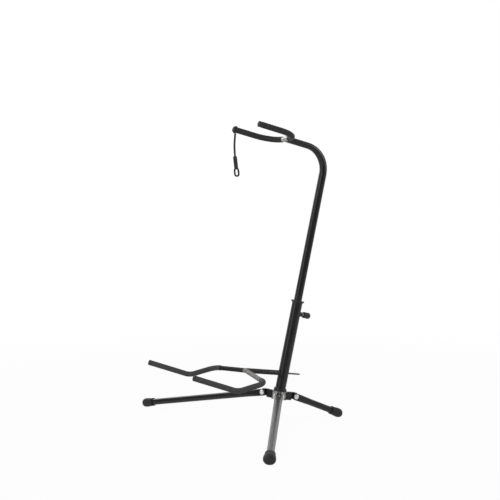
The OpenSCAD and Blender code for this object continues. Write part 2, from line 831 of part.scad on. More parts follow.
// A flat with round ends
module oval(w, h) {
    square([w, h - w], center = true);
    for (side = [-1, 1])
        translate([0, side * (h - w) / 2])
            circle(r = w / 2);
}
module strap_tab() {
    eye_lap = 2;
    eye_z = eye_lap - tab_len - eye_h / 2;
    color("#26272a")
        translate(strap_end)
            rotate([tab_lean, 0, 0])
                rotate([90, 0, tab_turn])
                    translate([0, 0, -tab_t / 2])
                        linear_extrude(tab_t)
                            difference() {
                                union() {
                                    translate([-tab_w / 2, -tab_len])
                                        square([tab_w, tab_len - tab_w / 4]);
                                    translate([-tab_w / 4, -tab_w / 4])
                                        square([tab_w / 2, tab_w / 4]);
                                    for (x = [-1, 1])
                                        translate([x * tab_w / 4, -tab_w / 4])
                                            circle(r = tab_w / 4);
                                    translate([0, eye_z])
                                        oval(eye_w, eye_h);
                                }
                                translate([0, eye_z])
                                    oval(eye_w - 2 * eye_rim, eye_h - 2 * eye_rim);
                            }
}

// Cradle
module cradle_half(s, ro, ri, start) {
    bent_tube([start, at(s, cradle_half_w, bend_ahead, bend_z),
        at(s, cradle_half_w, dip_ahead, dip_z), at(s, cradle_half_w, tip_ahead, tip_z)],
        [cradle_bend_r, dip_bend_r], ro, ri);
}
module cradle_path(ro, ri) {
    bent_tube([at(-1, cradle_half_w, tip_ahead, tip_z), at(-1, cradle_half_w, dip_ahead, dip_z),
        at(-1, cradle_half_w, bend_ahead, bend_z), stem_start,
        at(1, cradle_half_w, bend_ahead, bend_z), at(1, cradle_half_w, dip_ahead, dip_z),
        at(1, cradle_half_w, tip_ahead, tip_z)],
        [dip_bend_r, cradle_bend_r, vee_bend_r, cradle_bend_r, dip_bend_r], ro, ri);
}
module cradle_tube() {
    color("#3a3b3e")
        cradle_path(cradle_d / 2, cradle_d / 2 - cradle_wall);
}
module cradle_stem() {
    color("#232427")
        difference() {
            along(stem_start, stem_dir) {
                translate([0, 0, stem_start_gap])
                    pipe(stem_d / 2, stem_d / 2 - stem_wall, shoulder - stem_solid - stem_start_gap);
                translate([0, 0, shoulder - stem_solid])
                    cylinder(r = stem_d / 2, h = stem_solid);
                translate([-tongue_t / 2, -tongue_w / 2, shoulder - stem_solid / 2])
                    cube([tongue_t, tongue_w, tongue_end - shoulder + stem_solid / 2]);
            }
            translate(vee_apex - [cradle_half_w / 2, 0, 0])
                rotate([0, 90, 0])
                    cylinder(r = cradle_d / 2, h = cradle_half_w);
        }
}
module cradle_sleeve(s) {
    bend = at(s, cradle_half_w, bend_ahead, bend_z);
    color("#2c2d2f")
        cradle_half(s, cradle_sleeve_d / 2, cradle_d / 2,
            bend - unit(bend - stem_start) * sleeve_lap);
}
module cradle_sleeve_left() cradle_sleeve(-1);
module cradle_sleeve_right() cradle_sleeve(1);
module cradle_plug(s) {
    tip = at(s, cradle_half_w, tip_ahead, tip_z);
    dip = at(s, cradle_half_w, dip_ahead, dip_z);
    d = unit(tip - dip);
    color("#131416")
        along(tip, d) {
            cylinder(r = cradle_sleeve_d / 2, h = plug_t);
            translate([0, 0, -plug_depth])
                cylinder(r = cradle_d / 2 - cradle_wall, h = plug_depth + plug_t / 2);
        }
}
module cradle_plug_left() cradle_plug(-1);
module cradle_plug_right() cradle_plug(1);

lower_tube();
tube_bush();
base_ring();
hub_core();
hub_strip(left_az, right_az);  // hub_strip_front
hub_strip(-rear_az, left_az);  // hub_strip_left
hub_strip(right_az, rear_az);  // hub_strip_right
leg_rivets();
pivot_washers();
leg_front_left();
leg_front_right();
leg_rear();
foot_front_left();
foot_front_right();
foot_rear();
clamp_boss();
clamp_pad();
clamp_screw();
clamp_knob();
guide_plug();
upper_tube();
yoke_tube();
yoke_sleeve_left();
yoke_sleeve_right();
yoke_cap_left();
yoke_cap_right();
strap_ring();
strap_cord();
strap_tab();
cradle_tube();
cradle_stem();
cradle_sleeve_left();
cradle_sleeve_right();
cradle_plug_left();
cradle_plug_right();
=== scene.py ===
"""The looks of a folding guitar stand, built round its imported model."""
import json
import logging
import math
from dataclasses import dataclass, field
from enum import Enum

import bmesh
import bpy
from mathutils import Matrix, Vector, noise

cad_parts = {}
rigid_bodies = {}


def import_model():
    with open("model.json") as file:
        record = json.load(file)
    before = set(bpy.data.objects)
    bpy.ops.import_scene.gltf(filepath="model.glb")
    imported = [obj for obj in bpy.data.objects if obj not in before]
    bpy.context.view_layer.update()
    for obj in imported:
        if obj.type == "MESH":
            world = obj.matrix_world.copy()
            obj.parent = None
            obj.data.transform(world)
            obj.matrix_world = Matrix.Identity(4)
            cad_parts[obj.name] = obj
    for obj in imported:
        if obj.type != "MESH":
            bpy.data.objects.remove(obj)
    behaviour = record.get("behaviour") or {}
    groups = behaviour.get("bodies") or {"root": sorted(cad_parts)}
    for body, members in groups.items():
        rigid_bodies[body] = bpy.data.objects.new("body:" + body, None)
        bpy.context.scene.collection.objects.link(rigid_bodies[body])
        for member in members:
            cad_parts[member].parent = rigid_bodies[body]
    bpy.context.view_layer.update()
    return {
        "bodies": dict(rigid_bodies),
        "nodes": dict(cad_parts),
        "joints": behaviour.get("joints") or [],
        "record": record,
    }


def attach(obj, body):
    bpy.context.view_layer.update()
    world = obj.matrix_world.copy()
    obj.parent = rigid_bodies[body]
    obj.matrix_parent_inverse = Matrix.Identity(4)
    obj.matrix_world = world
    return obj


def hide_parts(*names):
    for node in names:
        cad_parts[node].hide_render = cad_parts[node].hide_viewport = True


LOG = logging.getLogger("guitar_stand")
TAU = 2 * math.pi

# Sizes shared with the part's source, in metres and degrees
HUB = Vector((0.0, 0.0531085, 0.067))
TUBE_LEAN = math.radians(12.8)
HUB_TILT = math.radians(8.5)
LEG_DROP = math.radians(13.9)
PIVOT_R = 0.043
TUBE_DIR = Vector((0.0, math.sin(TUBE_LEAN), math.cos(TUBE_LEAN)))
FORWARD = Vector((0.0, -math.cos(TUBE_LEAN), math.sin(TUBE_LEAN)))
ACROSS = Vector((1.0, 0.0, 0.0))

# Points nearer than this are one point, and each sweep and turning has this many sides
MERGE = 1e-7
SWEPT_SIDES = 32
TURNED_SIDES = 48
# The rounding of a sleeve's rims, and how far and how closely its outer face rises and falls
SLEEVE_RIM = 0.0006
SLEEVE_WOBBLE = 0.00012
SLEEVE_WAVES = 90

# The place of a painted highlight at the hub's right ear, and the grey that paints it on the legs there
HUB_GLINT_AT = (0.0200, 0.0414, 0.0690)
LEG_GLINT_GREY = (0.30, 0.295, 0.29)

Colour = tuple[float, float, float]
Material = bpy.types.Material
Mesh = bmesh.types.BMesh
Vert = bmesh.types.BMVert
Edge = bmesh.types.BMEdge
Ring = tuple[list[Vert], list[Edge]]


def vector_field(x: float, y: float, z: float) -> Vector:
    """A dataclass field that starts as a vector."""
    return field(default_factory=lambda: Vector((x, y, z)))


def upright_point(x: float, forward: float, up: float) -> Vector:
    """A point of the upright's own frame: to the right, ahead and up from the hub's centre."""
    return HUB + ACROSS * x + FORWARD * forward + TUBE_DIR * up


class Kind(Enum):
    """The kinds of new pieces, each with the record's material slot that it stands for."""

    BEAD = "gloss_black"
    SKIN = "soft_sleeve"
    RUBBER = "black_rubber"
    GRIP = "black_plastic"


class Signal:
    """A shader value with the usual operators, each of which adds one Math node."""

    def __init__(self, tree: "ShaderGraph", socket: bpy.types.NodeSocket) -> None:
        """Wraps a socket of a node tree."""
        self.tree = tree
        self.socket = socket

    def _math(self, operation: str, *values: object) -> "Signal":
        """Adds a Math node, whose sockets take numbers or signals."""
        return self.tree.node("ShaderNodeMath", {"operation": operation}, dict(enumerate(values)))

    def __add__(self, other: object) -> "Signal":
        """Adds."""
        return self._math("ADD", self, other)

    def __rsub__(self, other: object) -> "Signal":
        """Subtracts, from the right."""
        return self._math("SUBTRACT", other, self)

    def __mul__(self, other: object) -> "Signal":
        """Multiplies."""
        return self._math("MULTIPLY", self, other)

    def clamped(self) -> "Signal":
        """Keeps the value between 0 and 1."""
        return self._math("MINIMUM", self._math("MAXIMUM", self, 0.0), 1.0)


class ShaderGraph:
    """The nodes of one material or world."""

    def __init__(self, owner: Material | bpy.types.World) -> None:
        """Empties the owner's node tree.

        Args:
            owner: The material or world.
        """
        owner.use_nodes = True
        self.tree = owner.node_tree
        self.tree.nodes.clear()

    def node(self, kind: str, settings: dict[str, object] | None = None,
             sockets: dict[object, object] | None = None, output: object = 0) -> Signal:
        """Adds a node.

        Args:
            kind: The node's type.
            settings: Its settings, set first.
            sockets: Values, colours or signals by socket name or number.
            output: The socket that is handed back.

        Returns:
            The chosen output as a signal.
        """
        made = self.tree.nodes.new(kind)
        for key, value in (settings or {}).items():
            setattr(made, key, value)
        for key, value in (sockets or {}).items():
            self.feed(made.inputs[key], value)
        return Signal(self, made.outputs[output])

    def feed(self, socket: bpy.types.NodeSocket, value: object) -> None:
        """Gives a socket a signal, a colour or a number.

        Args:
            socket: The socket.
            value: What it gets.
        """
        if isinstance(value, Signal):
            self.tree.links.new(value.socket, socket)
        elif isinstance(value, tuple) and socket.type == "RGBA":
            socket.default_value = (*value, 1.0)
        else:
            socket.default_value = value

    def ramp(self, value: Signal, low: float, high: float) -> Signal:
        """A value that runs from 0 at low to 1 at high."""
        return self.node("ShaderNodeMapRange", {"interpolation_type": "SMOOTHSTEP"},
                         {"Value": value, "From Min": low, "From Max": high})

    def blend_shaders(self, output: str, share: Signal, first: Signal, second: Signal) -> None:
        """Ends the graph in a mix of two shaders, of which the share is the second's."""
        mixed = self.node("ShaderNodeMixShader", sockets={0: share, 1: first, 2: second})
        self.feed(self.tree.nodes.new(output).inputs["Surface"], mixed)


class NodeTree(ShaderGraph):
    """The node tree of one material with a Principled shader."""

    def __init__(self, name: str) -> None:
        """Makes the material with its output and its shader.

        Args:
            name: The material's name.
        """
        self.material = bpy.data.materials.new(name)
        super().__init__(self.material)
        output = self.tree.nodes.new("ShaderNodeOutputMaterial")
        self.shader = self.tree.nodes.new("ShaderNodeBsdfPrincipled")
        self.tree.links.new(self.shader.outputs[0], output.inputs[0])
        self.place = self.node("ShaderNodeTexCoord", output="Object")

    def set(self, **sockets: object) -> None:
        """Feeds the shader's sockets, whose names are written with underscores."""
        for key, value in sockets.items():
            self.feed(self.shader.inputs[key.replace("_", " ")], value)

    def stretched(self, scale: tuple[float, float, float]) -> Signal:
        """Object coordinates, scaled on each axis."""
        return self.node("ShaderNodeMapping", sockets={"Vector": self.place, "Scale": scale})

    def noise(self, scale: float, detail: float = 2.0, roughness: float = 0.5,
              at: Signal | None = None) -> Signal:
        """Noise between 0 and 1, about 1/scale metres across."""
        return self.node("ShaderNodeTexNoise", sockets={
            "Vector": at or self.place, "Scale": scale, "Detail": detail, "Roughness": roughness})

    def grains(self, scale: float, spread: float = 1.0) -> Signal:
        """The distance to the nearest of scattered points."""
        return self.node("ShaderNodeTexVoronoi", sockets={
            "Vector": self.place, "Scale": scale, "Randomness": spread}, output="Distance")

    def x_past(self, edge: float, soft: float = 0.0015) -> Signal:
        """A share that is 1 to the right of a place along x, with a soft edge."""
        x = self.node("ShaderNodeSeparateXYZ", sockets={"Vector": self.place}, output="X")
        return self.ramp(x, edge - soft, edge + soft)

    def near(self, place: tuple[float, float, float], reach: float) -> Signal:
        """A share that is 1 round a place and fades out with an uneven edge.

        Args:
            place: The place.
            reach: Where the share has faded to 0.

        Returns:
            The share.
        """
        away = self.node("ShaderNodeVectorMath", {"operation": "DISTANCE"},
                         {0: self.place, 1: place}, "Value")
        return self.ramp(away + self.noise(260.0, 3.0) * (0.5 * reach), 1.25 * reach, 0.85 * reach)

    def mix(self, share: object, first: Colour | Signal, second: Colour | Signal) -> Signal:
        """A colour between two others, of which the share is the second's."""
        return self.node("ShaderNodeMix", {"data_type": "RGBA"}, {0: share, 6: first, 7: second}, 2)

    def bump(self, height: Signal, distance: float) -> None:
        """Makes the shader's normal follow a height, in metres of distance."""
        self.set(Normal=self.node("ShaderNodeBump", sockets={"Height": height, "Distance": distance},
                                  output="Normal"))


@dataclass(frozen=True)
class PowderCoat:
    """Gloss black coating on the stand's metal: a fine orange peel, dust and, at one place, a painted
    highlight.
    """

    name: str = "gloss_black_coat"
    colour: Colour = (0.010, 0.010, 0.011)
    dust: Colour = (0.030, 0.030, 0.032)
    roughness: float = 0.27
    coat: float = 0.2
    specular: float = 0.3
    # A place with a painted highlight, a pale metallic grey that stands in for a reflection, and how far it
    # reaches
    glint_at: tuple[float, float, float] | None = None
    glint_reach: float = 0.022
    glint_grey: Colour = (0.52, 0.51, 0.50)
    glint_metal: float = 0.5
    # Depth of the orange peel, in metres, and the fineness of its two waves, the specks and the clouds
    peel: float = 0.000006
    peel_scale: float = 900.0
    wave_scale: float = 320.0
    speck_scale: float = 900.0
    cloud_scale: float = 38.0

    def make(self) -> Material:
        """Builds the material.

        Returns:
            The material.
        """
        t = NodeTree(self.name)
        cloud = t.noise(self.cloud_scale, 4.0, 0.6)
        specks = t.ramp(t.grains(self.speck_scale), 0.16, 0.05) * t.ramp(t.noise(120.0), 0.5, 0.7)
        dusty = (t.ramp(cloud, 0.45, 0.8) * 0.35 + specks * 0.3).clamped()
        colour = t.mix(dusty, self.colour, self.dust)
        roughness = cloud * 0.16 + specks * 0.12 + (self.roughness - 0.08)
        metal: object = 0.0
        # Paints a highlight round the place: the colour turns pale metallic grey, rougher and partly
        # metallic, in place of a reflection
        if self.glint_at is not None:
            glint = t.near(self.glint_at, self.glint_reach)
            colour = t.mix(glint, colour, self.glint_grey)
            roughness = roughness + glint * 0.12
            metal = glint * self.glint_metal
        t.set(Base_Color=colour, Roughness=roughness.clamped(), Metallic=metal,
              Specular_IOR_Level=self.specular, Coat_Weight=self.coat, Coat_Roughness=0.12)
        t.bump(t.noise(self.peel_scale, 1.0) + t.noise(self.wave_scale, 2.0) * 0.8, self.peel)
        return t.material


@dataclass(frozen=True)
class CrossGlintCoat:
    """The coat of the cradle's cross piece, plain black on the left and with a painted highlight of warm grey
    on the right.
    """

    name: str = "cross_glint_coat"
    black: Colour = (0.010, 0.010, 0.011)
    # The painted highlight's warm greys, which stand in for the reflection along the cross piece
    colour: Colour = (0.162, 0.153, 0.145)
    bright: Colour = (0.330, 0.315, 0.298)
    roughness: float = 0.52
    metal: float = 0.12
    specular: float = 0.25
    grain_depth: float = 0.00003
    # Where the painted highlight starts, along x
    grey_from: float = -0.004

    def make(self) -> Material:
        """Builds the material.

        Returns:
            The material.
        """
        t = NodeTree(self.name)
        cloud = t.noise(70.0, 5.0, 0.6)
        streak = t.noise(1.0, 3.0, 0.5, t.stretched((260.0, 60.0, 260.0)))
        share = (t.ramp(cloud, 0.3, 0.75) * 0.7 + t.ramp(streak, 0.4, 0.8) * 0.3).clamped()
        colour = t.mix(share, self.colour, self.bright)
        roughness = cloud * 0.22 + (self.roughness - 0.1)
        # Black left of the edge, the painted highlight right of it
        grey = t.x_past(self.grey_from)
        metal = (share * 0.2 + (self.metal - 0.1)) * grey
        roughness = roughness + (1 - grey) * 0.16
        t.set(Base_Color=t.mix(grey, self.black, colour), Roughness=roughness.clamped(),
              Metallic=metal.clamped(), Specular_IOR_Level=self.specular)
        t.bump(t.noise(900.0, 1.0), self.grain_depth)
        return t.material


@dataclass(frozen=True)
class SleeveRubber:
    """The matt, faintly speckled skin of the soft sleeves."""

    name: str = "soft_sleeve_skin"
    colour: Colour = (0.018, 0.018, 0.019)
    fleck: Colour = (0.070, 0.070, 0.073)
    roughness: float = 0.72
    pore_scale: float = 1300.0
    pore_depth: float = 0.00007

    def make(self) -> Material:
        """Builds the material.

        Returns:
            The material.
        """
        t = NodeTree(self.name)
        cells = t.grains(self.pore_scale)
        pores = t.ramp(cells, 0.34, 0.12)
        cloud = t.noise(55.0, 4.0)
        share = (pores * 0.34 + t.ramp(cloud, 0.4, 0.8) * 0.3).clamped()
        t.set(Base_Color=t.mix(share, self.colour, self.fleck),
              Roughness=(cloud * 0.14 + (self.roughness - 0.07)).clamped(), Specular_IOR_Level=0.42)
        t.bump(cells * 0.7 + t.noise(520.0, 3.0), self.pore_depth)
        return t.material


@dataclass(frozen=True)
class MouldedRubber:
    """Matt moulded rubber with a cast grain and dusty hollows."""

    name: str = "moulded_rubber"
    colour: Colour = (0.013, 0.013, 0.014)
    dust: Colour = (0.050, 0.050, 0.051)
    roughness: float = 0.62
    grain: float = 620.0
    grain_depth: float = 0.00018

    def make(self) -> Material:
        """Builds the material.

        Returns:
            The material.
        """
        t = NodeTree(self.name)
        cells = t.grains(self.grain, 0.8)
        cloud = t.noise(60.0, 4.0, 0.6)
        share = (t.ramp(cells, 0.3, 0.75) * 0.3 + t.ramp(cloud, 0.5, 0.85) * 0.5).clamped()
        t.set(Base_Color=t.mix(share, self.colour, self.dust),
              Roughness=(cloud * 0.2 + (self.roughness - 0.1)).clamped(), Specular_IOR_Level=0.45)
        t.bump(cells * 0.6 + t.noise(1500.0, 2.0) * 0.5, self.grain_depth)
        return t.material


@dataclass(frozen=True)
class MouldedPlastic:
    """Satin plastic with paler clouds and a spark-eroded grain."""

    name: str = "satin_plastic"
    colour: Colour = (0.012, 0.012, 0.013)
    pale: Colour = (0.040, 0.040, 0.042)
    cloud_scale: float = 90.0
    cloud_detail: float = 4.0
    cloud_low: float = 0.5
    cloud_share: float = 0.5
    # Roughness between the clouds, and what they add
    roughness: float = 0.33
    cloud_roughness: float = 0.18
    grain_scale: float = 2200.0
    grain_depth: float = 0.00004

    def make(self) -> Material:
        """Builds the material.

        Returns:
            The material.
        """
        t = NodeTree(self.name)
        cloud = t.noise(self.cloud_scale, self.cloud_detail)
        share = t.ramp(cloud, self.cloud_low, 0.8) * self.cloud_share
        t.set(Base_Color=t.mix(share, self.colour, self.pale),
              Roughness=(cloud * self.cloud_roughness + self.roughness).clamped())
        t.bump(t.noise(self.grain_scale, 2.0), self.grain_depth)
        return t.material


@dataclass(frozen=True)
class BrightMetal:
    """Plated or turned metal, with its own tint, fine scratches and dull patches."""

    name: str
    colour: Colour
    dull: Colour
    roughness: float
    metal: float = 1.0
    # The scratches' fineness on each axis, and their depth
    scratch: tuple[float, float, float] = (900.0, 90.0, 900.0)
    scratch_depth: float = 0.00002

    def make(self) -> Material:
        """Builds the material.

        Returns:
            The material.
        """
        t = NodeTree(self.name)
        line = t.noise(1.0, 3.0, 0.6, t.stretched(self.scratch))
        cloud = t.noise(260.0, 3.0)
        t.set(Base_Color=t.mix(t.ramp(cloud, 0.45, 0.8), self.colour, self.dull),
              Metallic=self.metal,
              Roughness=(line * 0.16 + cloud * 0.1 + (self.roughness - 0.12)).clamped())
        t.bump(line, self.scratch_depth)
        return t.material


def made_from(finish: object) -> Material:
    """A field of Finishes that makes its material when the finishes are made."""
    return field(default_factory=finish.make)


@dataclass
class Finishes:
    """Every finish of the stand, made once."""

    coat: Material = made_from(PowderCoat())
    # The cradle's cross piece, with a painted highlight on its right
    cross: Material = made_from(CrossGlintCoat())
    # The yoke, the hub's strips, the rear and near legs and the neck each have a painted highlight round one
    # place: a pale metallic grey that stands in for a reflection
    yoke: Material = made_from(PowderCoat(
        name="yoke_coat", glint_at=(0.0, 0.0710, 0.6782), glint_reach=0.024, glint_grey=(0.47, 0.46, 0.44)))
    strip: Material = made_from(PowderCoat(
        name="hub_strip_coat", glint_at=HUB_GLINT_AT, glint_reach=0.026, glint_grey=(0.40, 0.39, 0.38)))
    leg: Material = made_from(PowderCoat(
        name="leg_coat", glint_at=HUB_GLINT_AT, glint_grey=LEG_GLINT_GREY, roughness=0.33, peel=0.000002))
    # The near leg is a lit copy of the coat: its paler grey colour and dust paint the reflection that its
    # side facing the lamps shows
    near_leg: Material = made_from(PowderCoat(
        name="near_leg_lit_coat", colour=(0.058, 0.057, 0.055), dust=(0.110, 0.108, 0.104), glint_at=HUB_GLINT_AT,
        glint_grey=LEG_GLINT_GREY, roughness=0.34, coat=0.35, specular=0.5, peel=0.000002))
    neck: Material = made_from(PowderCoat(
        name="neck_coat", glint_at=(0.0, 0.0690, 0.6800), glint_reach=0.011))
    sleeve: Material = made_from(SleeveRubber())
    cradle_sleeve: Material = made_from(SleeveRubber(
        name="cradle_sleeve_skin", colour=(0.060, 0.059, 0.060), fleck=(0.130, 0.129, 0.131)))
    rubber: Material = made_from(MouldedRubber())
    foot: Material = made_from(MouldedRubber(name="foot_rubber", grain=430.0, grain_depth=0.0003))
    plastic: Material = made_from(MouldedPlastic())
    rivet: Material = made_from(BrightMetal(
        "plated_rivet", (0.92, 0.92, 0.93), (0.80, 0.80, 0.81), 0.34, metal=0.55))
    zinc: Material = made_from(BrightMetal(
        "zinc_screw", (0.66, 0.66, 0.67), (0.42, 0.42, 0.43), 0.36))
    brass: Material = made_from(BrightMetal(
        "turned_brass", (0.62, 0.45, 0.18), (0.42, 0.28, 0.10), 0.3))
    nylon: Material = made_from(MouldedPlastic(
        name="natural_nylon", colour=(0.72, 0.70, 0.64), pale=(0.62, 0.57, 0.45), cloud_scale=120.0,
        cloud_detail=3.0, cloud_low=0.4, cloud_share=1.0, roughness=0.35, cloud_roughness=0.2,
        grain_scale=700.0))


def frame_matrix(at: Vector, along: Vector, side: Vector = ACROSS) -> Matrix:
    """A frame whose z runs along a direction.

    Args:
        at: The frame's origin.
        along: The direction of its z.
        side: A direction that its x is near to.

    Returns:
        The frame as a matrix.
    """
    z = along.normalized()
    x = (side - z * side.dot(z)).normalized()
    return Matrix.Translation(at) @ Matrix((x, z.cross(x), z)).transposed().to_4x4()


def finish_piece(node: str, kind: Kind, bm: Mesh, material: Material, body: str, sharp: float,
                 added: bool = False) -> bpy.types.Object:
    """Makes a bmesh an object of the stand.

    Args:
        node: The CAD node that it stands for, and the start of its name.
        kind: What it is, which ends its name.
        bm: Its shape, in the stand's frame; it is used up.
        material: Its finish.
        body: The body that it moves with.
        sharp: Edges that turn by more than this, in degrees, stay sharp.
        added: Whether it is added to the CAD nodes and stands for none.

    Returns:
        The new object.
    """
    name = f"{node}_{kind.name.lower()}"
    bmesh.ops.remove_doubles(bm, verts=bm.verts, dist=MERGE)
    bmesh.ops.recalc_face_normals(bm, faces=bm.faces)
    if bm.calc_volume(signed=True) < 0:
        bmesh.ops.reverse_faces(bm, faces=bm.faces)
    for face in bm.faces:
        face.smooth = True
    for edge in bm.edges:
        edge.smooth = not (edge.is_manifold and edge.calc_face_angle(0.0) > math.radians(sharp))
    mesh = bpy.data.meshes.new(name)
    bm.to_mesh(mesh)
    bm.free()
    piece = bpy.data.objects.new(name, mesh)
    bpy.context.scene.collection.objects.link(piece)
    mesh.materials.append(material)
    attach(piece, body)
    if not added:
        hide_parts(node)
    LOG.info("piece %s on %s: %d faces", name, body, len(mesh.polygons))
    return piece


@dataclass
class SubAssembly:
    """A sub-assembly, which shapes its new pieces and dresses its carried-over nodes."""

    frame: dict
    finishes: Finishes

    def dress(self, material: Material, *nodes: str) -> None:
        """Gives carried-over nodes their finish.

        Args:
            material: The finish.
            *nodes: The nodes' names.
        """
        for node in nodes:
            for slot in self.frame["nodes"][node].material_slots:
                slot.link = "DATA"
                slot.material = material
            LOG.info("node %s: %s", node, material.name)


def angles(start: float, end: float, steps: int) -> list[float]:
    """Evenly spaced angles from start to end, both included."""
    return [start + (end - start) * k / steps for k in range(steps + 1)]


def circle(centre: Vector, x: Vector, y: Vector, radius: float, sides: int) -> list[Vector]:
    """A circle's points, which start at the direction x and turn towards y."""
    return [centre + (x * math.cos(a) + y * math.sin(a)) * radius for a in angles(0, TAU, sides)[:-1]]


def turned(place: Matrix, *outlines: list[tuple[float, float]], closed: bool = False) -> Mesh:
    """Turns outlines about the z axis of a frame.

    Args:
        place: The frame.
        *outlines: Points as (radius, height); one on the axis closes the shape there.
        closed: Whether an outline's last point is joined to its first.

    Returns:
        The turned shape.
    """
    bm = bmesh.new()
    for outline in outlines:
        verts = [bm.verts.new((max(r, 0.0), 0.0, z)) for r, z in outline]
        edges = [bm.edges.new((verts[i], verts[i + 1])) for i in range(len(verts) - 1)]
        if closed:
            edges.append(bm.edges.new((verts[-1], verts[0])))
        bmesh.ops.spin(bm, geom=verts + edges, cent=(0, 0, 0), axis=(0, 0, 1), angle=TAU,
                       steps=TURNED_SIDES, use_merge=True)
    bmesh.ops.remove_doubles(bm, verts=bm.verts, dist=MERGE)
    bmesh.ops.transform(bm, matrix=place, verts=bm.verts)
    return bm


def first_ring(bm: Mesh, points: list[Vector]) -> Ring:
    """Starts a skin with a closed ring of edges through the points."""
    row = [bm.verts.new(p) for p in points]
    return row, [bm.edges.new((row[i], row[(i + 1) % len(row)])) for i in range(len(row))]


def next_ring(bm: Mesh, row: list[Vert], edges: list[Edge], points: list[Vector]) -> Ring:
    """Extrudes a ring of edges to the next ring's points.

    Args:
        bm: The mesh.
        row: The last ring's vertices, in order.
        edges: The last ring's edges.
        points: The next ring's points, in the same order.

    Returns:
        The new ring's vertices and edges.
    """
    made = bmesh.ops.extrude_edge_only(bm, edges=edges)["geom"]
    fresh = {g for g in made if isinstance(g, Vert)}
    places = {vert: i for i, vert in enumerate(row)}
    new_row = list(row)
    for vert in fresh:
        for edge in vert.link_edges:
            index = places.get(edge.other_vert(vert))
            if index is not None:
                new_row[index] = vert
                vert.co = points[index]
    return new_row, [g for g in made if isinstance(g, Edge) and set(g.verts) <= fresh]


def loft(rings: list[list[Vector]], closed: bool = False) -> Mesh:
    """Joins rings of equal length into one skin.

    Args:
        rings: The rings' points, in order.
        closed: Whether the last ring is joined to the first; otherwise both ends are filled.

    Returns:
        The skin.
    """
    bm = bmesh.new()
    row, edges = first_ring(bm, rings[0])
    start = edges
    for ring in rings[1:] + (rings[:1] if closed else []):
        row, edges = next_ring(bm, row, edges, ring)
    if closed:
        bmesh.ops.remove_doubles(bm, verts=bm.verts, dist=MERGE)
    else:
        for loop in (start, edges):
            bmesh.ops.edgeloop_fill(bm, edges=loop)
    return bm


@dataclass
class BentPath:
    """A centre-line of straight runs and arcs."""

    points: list[Vector]
    radii: list[float]
    step: float = 0.004

    def samples(self) -> list[tuple[Vector, Vector]]:
        """Walks the line.

        Returns:
            Points with their directions, close together in the arcs.
        """
        out: list[tuple[Vector, Vector]] = []
        start = self.points[0]
        for i in range(1, len(self.points) - 1):
            a, corner, b = self.points[i - 1], self.points[i], self.points[i + 1]
            before, after = (corner - a).normalized(), (b - corner).normalized()
            angle = before.angle(after)
            cut = self.radii[i - 1] * math.tan(angle / 2)
            self._straight(out, start, corner - before * cut, before)
            inward = (after - before * after.dot(before)).normalized()
            centre = corner - before * cut + inward * self.radii[i - 1]
            axis = before.cross(after).normalized()
            count = max(4, round(self.radii[i - 1] * angle / self.step))
            for k in range(count + 1):
                turn = Matrix.Rotation(angle * k / count, 3, axis)
                out.append((centre + turn @ (corner - before * cut - centre), turn @ before))
            start = corner + after * cut
        last = (self.points[-1] - self.points[-2]).normalized()
        self._straight(out, start, self.points[-1], last)
        clean = [out[0]]
        for point, direction in out[1:]:
            if (point - clean[-1][0]).length > 1e-5:
                clean.append((point, direction))
        return clean

    def _straight(self, out: list[tuple[Vector, Vector]], a: Vector, b: Vector, direction: Vector) -> None:
        """Adds a straight run's points, from a to b."""
        count = max(1, round((b - a).length / (3 * self.step)))
        out += [(a.lerp(b, k / count), direction) for k in range(count + 1)]


def swept(samples: list[tuple[Vector, Vector]], radius: float, bore: float) -> Mesh:
    """Sweeps a soft sleeve's wall along a line, with rounded rims and a slightly uneven face.

    Args:
        samples: The line's points and directions.
        radius: The sleeve's outer radius.
        bore: Its inner radius.

    Returns:
        The sleeve's shape.
    """
    frames: list[tuple[Vector, Vector, Vector]] = []
    side = ACROSS if abs(samples[0][1].x) < 0.9 else Vector((0, 0, 1))
    for point, direction in samples:
        side = (side - direction * side.dot(direction)).normalized()
        frames.append((point, side.copy(), direction.cross(side)))

    def ring(index: int, r: float, shift: float = 0.0) -> list[Vector]:
        """A ring across the line, moved along it by the shift."""
        point, x, y = frames[index]
        return circle(point + samples[index][1] * shift, x, y, r, SWEPT_SIDES)

    def uneven(index: int) -> list[Vector]:
        """A ring of the outer face."""
        return [p + (p - frames[index][0]).normalized() * SLEEVE_WOBBLE * noise.noise(p * SLEEVE_WAVES)
                for p in ring(index, radius)]

    def rim(index: int, angle: float, inward: int) -> list[Vector]:
        """A ring of a rim's rounding, at an angle of it."""
        return ring(index, radius - SLEEVE_RIM * (1 - math.sin(angle)),
                    inward * SLEEVE_RIM * (1 - math.cos(angle)))

    last = len(samples) - 1
    turns = (0.5, 1.05, math.pi / 2)
    rings = [ring(0, bore), ring(0, radius - SLEEVE_RIM)]
    rings += [rim(0, a, 1) for a in turns]
    rings += [uneven(i) for i in range(1, last)]
    rings += [rim(last, a, -1) for a in reversed(turns)]
    rings += [ring(last, radius - SLEEVE_RIM), ring(last, bore)]
    rings += [ring(i, bore) for i in range(last - 1, 0, -1)]
    return loft(rings, closed=True)


@dataclass(frozen=True)
class LegEnd:
    """A leg's azimuth, its reach to the middle of the foot's end, its body and its foot's node."""

    azimuth: float
    reach: float
    body: str
    foot: str


class Leg(Enum):
    """The three legs."""

    FRONT_LEFT = LegEnd(-60.0, 0.360436, "front_left_leg", "foot_front_left")
    FRONT_RIGHT = LegEnd(60.0, 0.360436, "front_right_leg", "foot_front_right")
    REAR = LegEnd(180.0, 0.131850, "rear_leg", "foot_rear")


